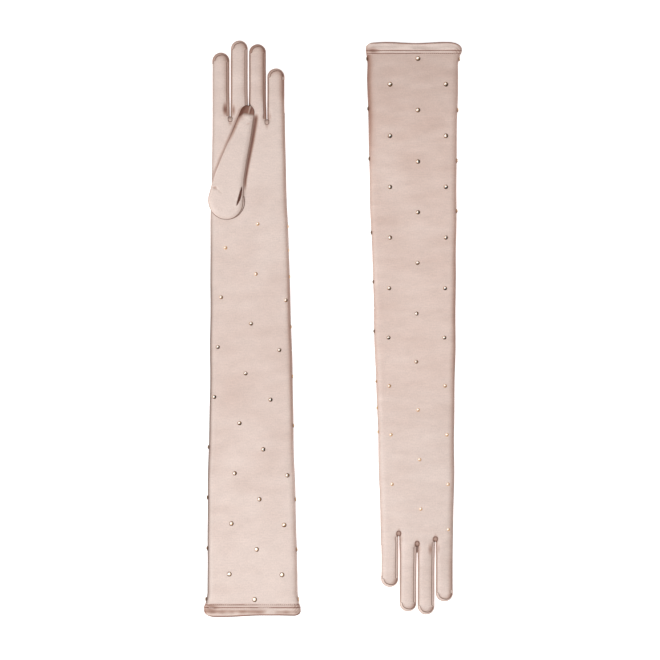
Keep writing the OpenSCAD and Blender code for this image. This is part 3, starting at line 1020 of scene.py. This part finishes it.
def root_slit(t, w):
    """1 in the long narrow fold at the thumb's root, 0 outside: a lens 21 long and 2.6 wide."""
    u = np.clip((t + 1.5) / 21.5, 0, 1)
    middle = 11.6 + 0.5 * u + 0.7 * np.sin(np.pi * u)
    half = 1.3 * np.sin(np.pi * u) ** 0.8
    return ease((half - np.abs(w - middle)) / 0.5 + 0.4) * (u > 0) * (u < 1)


def tip_ridge(w):
    """Where the thumb's pushed-in tip begins: level, and falling away on the index side."""
    return 95.4 - 4.6 * ease((-3.5 - w) / 5)


def thumb_height(t, w):
    """Height of the thumb over the palm: a quarter round in from its outline, with its folds.

    A deep fold runs up the little finger side of the root, the root's other side is gathered,
    and the tip is pushed in past a ridge.
    """
    off = np.abs(w - thumb_middle(t))
    inside = np.where(
        t < BASE_R * np.sin(THUMB_SLOPE),
        BASE_R - np.hypot(t, off),
        np.where(
            t > THUMB_LONG + TIP_R * np.sin(THUMB_SLOPE),
            TIP_R - np.hypot(t - THUMB_LONG, off),
            (thumb_half(t) - off) * np.cos(THUMB_SLOPE),
        ),
    )
    full = quarter_round(np.maximum(inside, 0), 6.0)
    body = np.interp(t, [-19, -6, 14, 60, 98, 106], [4.3, 5.0, 5.9, 5.7, 5.2, 4.6])
    folds = 4.2 * root_slit(t, w)
    folds = folds + 1.5 * dent(w, t, -15.6, 11.0, 2.0, 1.1, 0.3)
    folds = folds + 0.5 * crease(w, t, (-16.5, 12.0), (-6.0, 7.0), 0.8)
    for lean, deep in ((-11, 0.22), (-7, 0.30), (-3, 0.22)):
        folds = folds + deep * crease(w, t, (lean, -12.5), (lean * 0.8, -6.0), 0.7)
    folds = folds + 0.6 * crease(w, t, (11.0, -2.5), (6.0, -10.0), 0.8)
    ridge = tip_ridge(w)
    pushed = ease((t - ridge + 1) / 4)
    light_fold = bell(w - 0.6, 0.9) * ease((t - 97) / 2)
    raised = 0.5 * bell(t - ridge + 1.6, 1.8) + 1.5 * light_fold
    pinch = 1.1 * dent(w, t, 4.0, 93.6, 1.0, 0.7) + 0.5 * dent(w, t, 3.2, 86.6, 2.4, 1.0, 0.4)
    uneven = 0.12 * ripple(w, t, 5, 16, 60)
    return full * np.maximum(body * (1 - 0.5 * pushed) + raised + uneven - folds - pinch, 0.6)


def thumb_shade(t, w):
    """Depth of colour of the thumb: painted shade at its rim, folds, pushed-in tip and shaded side."""
    off = w - thumb_middle(t)
    inside = thumb_half(t) - np.abs(off)
    shade = 0.55 * bell(inside, 0.8) + 1.0 * root_slit(t, w)
    shade = shade + 0.34 * dent(w, t, -16.2, 11.5, 2.2, 1.2, 0.3)
    shade = shade + 0.12 * crease(w, t, (-16.5, 12.0), (-5.0, 6.5), 0.8)
    shade = shade + 0.10 * crease(w, t, (11.0, -2.5), (7.0, -9.0), 0.8)
    for lean in (-11, -7, -3):
        shade = shade + 0.09 * crease(w, t, (lean, -12.5), (lean * 0.8, -6.0), 0.7)
    ridge = tip_ridge(w)
    # Painted shade in the pushed-in tip, a painted highlight on its middle fold, and a dark line beside it.
    dark = ease((t - ridge) / 3.2) * (0.62 - 0.22 * ease((t - 101) / 4))
    light = 0.45 * bell(w - 0.6, 0.8) * ease((t - 97) / 2)
    line = 0.3 * bell(w - 2.4, 0.6) * ease((t - 96) / 2) * (1 - ease((t - 103) / 2))
    shade = shade + dark - light + line
    # Painted shade along the thumb's shaded side.
    side = thumb_half(t) + off
    shade = shade + 0.46 * ease((t - 52) / 30) * bell(side - 0.8, 2.4)
    shade = shade + 0.16 * ease((t - 84) / 10) * bell(side - 4, 3.5)
    # Painted shade in the pinch and a faint dent, a painted highlight beside the pinch, and lighter towards
    # the root.
    shade = shade + 0.30 * dent(w, t, 4.4, 93.6, 0.8, 0.5) + 0.16 * dent(w, t, 3.2, 86.8, 2.0, 1.1, 0.4)
    shade = shade - 0.25 * dent(w, t, 3.2, 94.8, 1.0, 0.6) - 0.05 * (1 - ease((t - 70) / 30))
    return np.clip(shade, 0, 1)


def add_thumb(glove):
    """The folded thumb: a closed flat sock over the palm, or under it on the back-up glove."""
    side = glove.side
    base = -BASE_R * np.cos(np.linspace(0, np.pi / 2 + THUMB_SLOPE, 34))
    tip = THUMB_LONG + TIP_R * np.sin(np.linspace(THUMB_SLOPE, np.pi / 2, 16))
    t = np.concatenate([base, np.arange(base[-1] + 1.0, tip[0] - 0.4, 1.0), tip])
    w = thumb_middle(t)[:, None] + thumb_half(t)[:, None] * across(64)[None]
    tt = np.broadcast_to(t[:, None], w.shape)
    high = thumb_height(tt, w)
    x, s = from_thumb(tt, w)
    uv = np.stack([w, tt], -1).reshape(-1, 2) * MM
    shade = thumb_shade(tt, w)
    if glove.palm_up:
        seat = thickness(s) - 0.5
        top = lay_down(glove, x, s, seat + high)
        under = lay_down(glove, x, s, seat)
    else:
        # Under the palm the sock hangs from the raised hand, tucked in from the glove's edge.
        x = np.maximum(x, outer_edges(glove, s)[0] + 1.5 + 0.15 * (x - outer_edges(glove, s)[0]))
        top = lay_down(glove, x, s, np.full_like(x, 0.5))
        under = top - np.stack([0 * x, 0 * x, high * MM], -1)
        under[..., 2] = np.maximum(under[..., 2], 0.05 * MM)
    grids = [
        (top.reshape(-1, 3), grid_faces(*w.shape), uv, shade.ravel()),
        (under.reshape(-1, 3), grid_faces(*w.shape, flip=True), uv + 0.3, shade.ravel()),
    ]
    obj = sewn(f"{side}_satin_thumb", grids, glove_satin, weld=2e-6)
    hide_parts(f"{side}_thumb", f"{side}_thumb_base")
    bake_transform(obj)
    add_thumb_seam(glove)


def add_thumb_seam(glove):
    """The sewn line round the back of the thumb's root: a cord on an arc just outside it."""
    side = glove.side
    turn = np.radians(np.linspace(148, 392, 90))
    t, w = BASE_R * np.sin(turn), BASE_R * np.cos(turn)
    x, s = from_thumb(t, w)
    keep = x > outer_edges(glove, s)[0] + 1.5
    x, s = x[keep], s[keep]
    h = thickness(s) + 0.05 if glove.palm_up else np.full_like(x, -0.05)
    path = lay_down(glove, x, s, h)
    obj = sewn(f"{side}_thumb_root_seam", [tube(path, 0.42 * MM)], seam_thread)
    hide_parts(f"{side}_thumb_seam")
    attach(obj, f"{side}_hand_body")


# ---------------------------------------------------------------- hem and side seam


NEEDLE_ROWS = (10.9, 13.9)
HEM_TOP = 15.1
POCKET = 44.0


def cuff_edge(glove, x):
    """Distance of the cuff's edge from the cuff line: soft waves, and round corners at the sides."""
    low, high = outer_edges(glove, np.array([0.0]))
    low, high = low[0] - 0.5, high[0] + 0.5
    round_low, round_high = (12.0, 8.0) if glove.palm_up else (13.0, 8.0)
    share = (x - low) / (high - low)
    corner = 0
    for near, reach in ((x - low, round_low), (high - x, round_high)):
        corner = corner + (2.4 + 0.36 * reach) * (1 - quarter_round(near, reach))
    if glove.palm_up:
        wave = 1.0 + 1.7 * ease((share - 0.2) / 0.4) - 0.5 * ease((share - 0.75) / 0.25)
    else:
        wave = 2.6 - 0.6 * np.cos(2 * np.pi * (share * 1.7 - 0.32))
    return corner + wave


def hem_layer(glove, way):
    """One layer of the hem, the upper for way 1 and the lower for way -1.

    Rows run from the stitched edge over the face, round the cuff's edge and back inside, where
    the two layers close on each other. The section is the sleeve's, flared towards the edge.
    Returns x, s, h, the depth of colour, mostly painted shade, and how many rows the face has.
    """
    places = across(90)
    face_rows, turn_rows, inner_rows = 26, 5, 16
    face, back = np.linspace(0, 1, face_rows), np.linspace(1, 0, inner_rows)[1:]
    f = np.concatenate([face, np.ones(turn_rows), back])
    turn = np.concatenate([0 * face, np.linspace(0, 1, turn_rows + 1)[1:], np.ones(len(back))])
    start = np.where(turn < 1, HEM_TOP, POCKET)
    rows = start + (2.0 - start) * f
    flare = 0.5 * ease((HEM_TOP - rows) / 6)
    low, high = outer_edges(glove, rows)
    low, high = low - flare + 1.0 * turn, high + flare - 1.0 * turn
    low, high = low[:, None], high[:, None]
    x = (low + high) / 2 + (high - low) / 2 * places[None]
    edge = cuff_edge(glove, np.clip(x, low.min(), high.max()))
    s = start[:, None] + (edge + (0.8 if way < 0 else 0) - start[:, None]) * f[:, None]
    s = s - 0.35 * np.sin(np.pi * turn)[:, None]
    d = np.minimum(x - low, high - x)
    full = quarter_round(d, UPPER_ROUND if way > 0 else LOWER_ROUND)
    t = thickness(s) + 0.3 * f[:, None]
    outer = t * (MEET + (1 - MEET) * full if way > 0 else MEET * (1 - full))
    needle = sum(bell(s - at, 0.45) for at in NEEDLE_ROWS)
    roll = 0.35 * bell(s - 11.6, 0.8) + 0.3 * bell(s - 4.0, 1.8)
    loose = ease((HEM_TOP - s) / 8)
    swell = 0.42 * ripple(x * 0.8, s * 2.6, glove.seed + 5, 16, 46) * loose
    across_end, far_end = (x - low, high - x) if glove.palm_up else (high - x, x - low)
    gather = bell(across_end - 7.0, 6.0) * bell(s - 10.8, 2.6)
    pleat = 0.5 + 0.5 * np.sin(s * 2.9 + x * 0.25)
    slant = bell(far_end - 4.5, 4.0) * bell(s - 13, 6.0)
    slant = slant * (0.5 + 0.5 * np.sin((far_end + s) * 1.9))
    proud = 0.40 + roll + swell - 0.5 * needle - 0.7 * gather * pleat - 0.35 * slant
    outside = turn[:, None] < 1
    h = outer + way * np.where(outside, proud, 0.1) * full
    h = h - way * 1.1 * turn[:, None] * np.maximum(full, 0.15)
    shut = np.where(turn >= 1, 1 - f, 0)[:, None]
    h = h + (MEET * t - h) * ease(shut * 1.02)
    # Painted shade in the needle rows' grooves, the gathers and the slanting folds, at the cuff's edge and
    # the sides, round the turn and inside the pocket.
    shade = 0.01 + 0.60 * needle + 0.62 * gather * (0.35 + 0.65 * pleat) + 0.30 * slant
    shade = shade + 0.85 * bell(s - edge, 0.9) * ease(across_end / 14)
    shade = shade + 0.30 * bell(d, 1.6) + 0.45 * turn[:, None]
    if glove.palm_up:
        # Painted shade: soft dark streaks across the hem, and more towards the gathered end.
        shadow_streak = ripple(x, s * 0.25, glove.seed + 6, 9, 34)
        shade = shade + (0.16 + 0.16 * shadow_streak) * bell(s - 6.0, 1.7)
        shade = shade + 0.22 * (1 - ease((x + 5) / 40)) * bell(s - 7.2, 1.5)
    else:
        shade = shade - 0.03 + 0.05 * ripple(x, s, glove.seed + 6, 12, 40) * loose
    return x, s, h, np.clip(shade, 0, 1), face_rows


def needle_path(points, s, face_rows, at):
    """The line on the hem's face where s is at, one point for each column.

    s falls evenly from row to row, so the line's place is a share of the way between two rows.
    """
    place = np.clip((s[0] - at) / (s[0] - s[face_rows - 1]), 0, 1) * (face_rows - 1)
    row = np.minimum(place.astype(int), face_rows - 2)
    share = (place - row)[:, None]
    column = np.arange(s.shape[1])
    return points[row, column] * (1 - share) + points[row + 1, column] * share


def add_hem(glove):
    """The turned hem with its inner pocket, and its two needle rows of stitches."""
    side = glove.side
    grids, paths = [], {at: [] for at in NEEDLE_ROWS}
    for way in (1, -1):
        x, s, h, shade, face_rows = hem_layer(glove, way)
        points = lay_down(glove, x, s, h)
        points[..., 2] = np.maximum(points[..., 2], 0.0)
        uv = np.stack([x + (300 if way > 0 else 500), s], -1).reshape(-1, 2) * MM
        grids.append((points.reshape(-1, 3), grid_faces(*x.shape, flip=way > 0), uv, shade.ravel()))
        for at in NEEDLE_ROWS:
            row = needle_path(points, s, face_rows, at) + [0, 0, (0.15 if way > 0 else 0.0) * MM]
            row[:, 2] = np.maximum(row[:, 2], 0.27 * MM)
            paths[at].append(row if way > 0 else row[::-1])
    obj = sewn(f"{side}_turned_hem", grids, hem_satin, weld=2e-5)
    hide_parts(f"{side}_hem")
    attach(obj, f"{side}_upper_body")
    rows = [stitches(np.concatenate(paths[at]), True, 2.1 * MM, 1.75 * MM, 0.27 * MM) for at in NEEDLE_ROWS]
    obj = sewn(f"{side}_needle_rows", rows, hem_thread)
    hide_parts(f"{side}_hem_stitching")
    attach(obj, f"{side}_upper_body")


def add_side_seam(glove):
    """The closing seam on the little finger side: a fine cord with stitches along the edge."""
    side = glove.side
    for name, low, high, joint, reach, nodes in (
        ("sleeve", 12.5, SLEEVE_END, "elbow", ELBOW_REACH, ("upper_side_seam", "forearm_side_seam")),
        ("hand", SLEEVE_END, FOLD - 10, "wrist", WRIST_REACH, ("hand_side_seam",)),
    ):
        s = np.arange(low, high, 2.0)
        x = outer_edges(glove, s)[1] - 0.05
        path = lay_down(glove, x, s, MEET * thickness(s))
        row = stitches(path + [0, 0, 0.1 * MM], False, 2.4 * MM, 1.7 * MM, 0.30 * MM)
        obj = sewn(f"{side}_side_seam_{name}", [tube(path, 0.30 * MM), row], seam_thread)
        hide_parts(*[f"{side}_{n}" for n in nodes])
        flex(obj)


# ---------------------------------------------------------------- crystals


ROWS, FIRST_ROW, ROW_PITCH, BACK_PITCH = 19, 19.5, 26.87, 60
CRYSTAL_HEIGHT = 1.15
# Room that a crystal on a face needs from the glove's edge.
EDGE_ROOM = 3.5
# How far hand-set columns stray: places s, then millimetres across or along.
PALM_DRIFT = ((46, 100, 160, 215, 284, 340, 392, 419), (-0.9, -1.8, -2.3, -1.2, 1.0, 0.9, 0.4, -3.2))
BACK_DRIFT = ((46, 208, 290, 342, 422, 500), (1.0, 1.0, 2.4, 2.8, 0, -1.8))
BACK_SLIP = ((19, 127, 288, 396, 503), (0, 3.2, 5.2, 1.2, 0))


def crystal_spots(glove):
    """Places of the crystals: (x, s, face) with face 1 above, -1 below and 0 on an edge.

    Rows follow each other by one pitch. Columns on the palm lean towards the little finger and
    spread; columns on the back run straight. Every other row is moved by half a pitch.
    """
    spots = []
    palm_face, back_face = (1, -1) if glove.palm_up else (-1, 1)
    for n in range(ROWS):
        row = FIRST_ROW + ROW_PITCH * n
        odd = n % 2 == 1
        low, high = [float(e[0]) for e in outer_edges(glove, np.array([row]))]
        lean = -22.5 + 33 * (row / WRIST) ** 1.35 + np.interp(row, *PALM_DRIFT)
        palm_pitch = 56.6 + 13 * np.clip((row - 200) / 120, 0, 1)
        for m in (-1, 0, 1) if odd else (-0.5, 0.5):
            x = lean + palm_pitch * m
            s = row + (0.8 - 0.05 * x) * np.sin(np.pi * row / FOLD)
            if s > WRIST + 19:
                continue
            if low + EDGE_ROOM < x < high - EDGE_ROOM:
                spots.append((x, s, palm_face))
            elif -3 < low - x < 10:
                spots.append((low, s, 0))
            elif x > high - 5:
                spots.append((high, s, 0))
        for m in (-0.5, 0.5) if odd else (0,):
            x = -2 + BACK_PITCH * m + np.interp(row, *BACK_DRIFT)
            if low + EDGE_ROOM < x < high - EDGE_ROOM:
                spots.append((x, row + np.interp(row, *BACK_SLIP), back_face))
        if not odd and row < 150:
            spots.append((high, row, 0))
    spots.append((-33.5, WRIST + 117, back_face))
    return sorted(set((round(x, 3), round(s, 3), f) for x, s, f in spots))


def crystal_radius(s):
    """Radius of a crystal at s: larger at the cuff, smaller at the hand."""
    return float(np.interp(s, [0, 250, 550], [2.7, 2.2, 1.75]))


def ring(count, radius, z, turn):
    """Points of a level circle, the first one at the angle turn."""
    angle = turn + np.arange(count) * 2 * np.pi / count
    return np.stack([radius * np.cos(angle), radius * np.sin(angle), np.full(count, z)], -1)


def crystal_points(radius, height, turn):
    """One cut crystal: a girdle of twelve points, a crown of twelve, a table of six and its middle."""
    half_step = np.pi / 12
    return np.concatenate(
        [
            ring(12, radius * 0.96, -0.3, turn),
            ring(12, radius, 0.16 * height, turn),
            ring(12, radius * 0.74, 0.66 * height, turn + half_step),
            ring(6, radius * 0.5, height, turn + half_step),
            np.array([[0, 0, height * 1.02]]),
        ]
    )


def crystal_faces():
    """A crystal's faces as point numbers: girdle and crown side by side, the table, the flat back."""
    faces = []
    for i in range(12):
        j = (i + 1) % 12
        faces += [(i, j, 12 + j, 12 + i), (12 + i, 12 + j, 24 + i), (12 + j, 24 + j, 24 + i)]
    for m in range(6):
        a, b, c = 24 + 2 * m, 25 + 2 * m, 24 + (2 * m + 2) % 12
        here, there = 36 + m, 36 + (m + 1) % 6
        faces += [(a, b, here), (b, there, here), (b, c, there), (here, there, 42)]
    return faces + [tuple(range(11, -1, -1))]


def painted_facet_light(turn, glow, rng):
    """Painted light and shade of each face: light to one side, dark to the other; glow lifts the table's.
    """
    bright = rng.uniform(0.6, 1.05)
    lit_side = rng.uniform(2.1, 3.1)
    jitter = rng.uniform(-0.1, 0.1, (12, 2))

    def light(angle):
        return (0.5 + 0.5 * np.cos(turn + angle - lit_side)) ** 2.4

    lit = light((np.arange(12) + 0.5) * np.pi / 6)
    upper, lower = bright * (0.02 + 0.55 * lit), bright * (0.10 + 0.36 * lit)
    sides = np.stack([0.20 + 0.25 * lit, lower + jitter[:, 0], upper + jitter[:, 1]], -1)
    # The upper crown and table facets, lifted by glow, a painted highlight.
    lit = light((2 * np.arange(6) + 1.5) * np.pi / 6)
    crown = 0.02 + 0.9 * lit + 0.35 * glow
    table = np.stack([crown, crown + 0.4 * lit, crown, 3.0 * lit - 0.15 + glow], -1)
    return np.concatenate([sides.ravel(), table.ravel(), [0.2]])


def crystal_seat(glove, x, s, face):
    """Where a crystal sits on the cloth, and the turn that sets it square to it."""
    at = np.array([x]), np.array([s])
    k = 0 if x < 0 else 2
    if face == 1:
        h, turn = upper_layer(glove, *at, k), np.eye(3)
    elif face == -1:
        # Those on the table side are sunk into the cloth.
        h, turn = lower_layer(glove, *at, k) + 1.1, np.diag([1.0, -1.0, -1.0])
    else:
        h = MEET * thickness(at[1]) + 0.4
        out = 1.0 if (x > 0) == glove.palm_up else -1.0
        turn = np.array([[0.0, 0, out], [0, 1, 0], [-out, 0, 0]])
    return lay_down(glove, *at, h)[0], turn


def add_crystals(glove):
    """All crystals of one glove, glued on square to the cloth, in two pieces."""
    side = glove.side
    rng = np.random.default_rng(glove.seed + 9)
    for name, first, last, joint, reach, nodes in (
        ("sleeve", 0, SLEEVE_END, "elbow", ELBOW_REACH, ("upper_crystals", "forearm_crystals")),
        ("hand", SLEEVE_END, FOLD, "wrist", WRIST_REACH, ("hand_crystals",)),
    ):
        points, tones = [], []
        for x, s, face in [spot for spot in crystal_spots(glove) if first <= spot[1] < last]:
            # glow: the painted highlight of a crystal's table, strongest near the palm-up glove's cuff.
            glow = rng.uniform(-0.12, 0.35)
            if glove.palm_up:
                glow = float(np.interp(s, [60, 200], [0.95, glow - 0.1]))
            turn = rng.uniform(0, 0.5)
            # Towards the hand the crystals are paler: their painted light and shade fade towards one pale
            # tone.
            pale = 0.5 * ease((s - 310) / 90)
            tones.append(painted_facet_light(turn, glow, rng) * (1 - pale) + 0.90 * pale)
            place, square = crystal_seat(glove, x, s, face)
            points.append(crystal_points(crystal_radius(s), CRYSTAL_HEIGHT, turn) @ square.T * MM + place)
        starts = np.arange(len(points)) * len(points[0])
        faces = [tuple(int(i) + int(start) for i in f) for start in starts for f in crystal_faces()]
        mesh = bpy.data.meshes.new(f"{side}_{name}_crystals")
        mesh.from_pydata(np.concatenate(points).tolist(), [], faces)
        # Each face's painted light and shade, as the facet attribute.
        facets = np.clip(np.concatenate(tones), 0, 1).astype(np.float32)
        mesh.attributes.new("facet", "FLOAT", "FACE").data.foreach_set("value", facets)
        obj = piece(f"{side}_{name}_cut_crystals", mesh, crystal_foil)
        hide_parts(*[f"{side}_{n}" for n in nodes])
        flex(obj)


# ---------------------------------------------------------------- the pair

for side in ("left", "right"):
    glove = Glove(side)
    add_cloth(glove)
    for k in range(4):
        add_strips(glove, k)
    add_gussets(glove)
    add_thumb(glove)
    add_hem(glove)
    add_side_seam(glove)
    add_crystals(glove)


# ---------------------------------------------------------------- studio


def add_floor():
    """A plain pale floor under the gloves."""
    mesh = bpy.data.meshes.new("studio_floor")
    half, below = 4, -0.0003
    corners = [(half * x, half * y, below) for x, y in ((-1, -1), (1, -1), (1, 1), (-1, 1))]
    mesh.from_pydata(corners, [], [(0, 1, 2, 3)])
    mat, _, _, shader = new_material("studio_floor")
    shader.inputs["Base Color"].default_value = (0.80, 0.80, 0.80, 1)
    shader.inputs["Roughness"].default_value = 0.9
    shader.inputs["Emission Color"].default_value = (1, 1, 1, 1)
    shader.inputs["Emission Strength"].default_value = 0.75
    floor = piece("studio_floor", mesh, mat)


def add_light(name, place, aim, size, power, color=(1, 1, 1)):
    """A soft square lamp at place, turned to aim."""
    lamp = bpy.data.lights.new(name, "AREA")
    lamp.shape = "RECTANGLE"
    lamp.size, lamp.size_y = size
    lamp.energy = power
    lamp.color = color
    obj = bpy.data.objects.new(name, lamp)
    bpy.context.scene.collection.objects.link(obj)
    obj.location = place
    obj.rotation_mode = "QUATERNION"
    obj.rotation_quaternion = (Vector(aim) - Vector(place)).to_track_quat("-Z", "Y")


add_floor()
add_light("key", (-1.15, -0.45, 1.25), (0, 0, 0), (0.9, 1.1), 16.4)
add_light("top", (0.1, -0.35, 2.2), (0, 0, 0), (1.6, 1.6), 17.6)
add_light("fill", (1.4, 0.5, 1.3), (0, 0, 0), (1.2, 1.2), 4)

world = bpy.data.worlds.new("studio")
world.use_nodes = True
world.node_tree.nodes["Background"].inputs["Color"].default_value = (1, 0.96, 0.94, 1)
world.node_tree.nodes["Background"].inputs["Strength"].default_value = 0.25
bpy.context.scene.world = world
bpy.context.scene.view_settings.view_transform = "Standard"

camera = bpy.data.cameras.new("camera")
camera.lens = 300
camera.sensor_width = 36
camera.clip_end = 50
eye = bpy.data.objects.new("camera", camera)
bpy.context.scene.collection.objects.link(eye)
eye.location = (-0.0035, -0.001, 0.7098 * camera.lens / camera.sensor_width)
bpy.context.scene.camera = eye
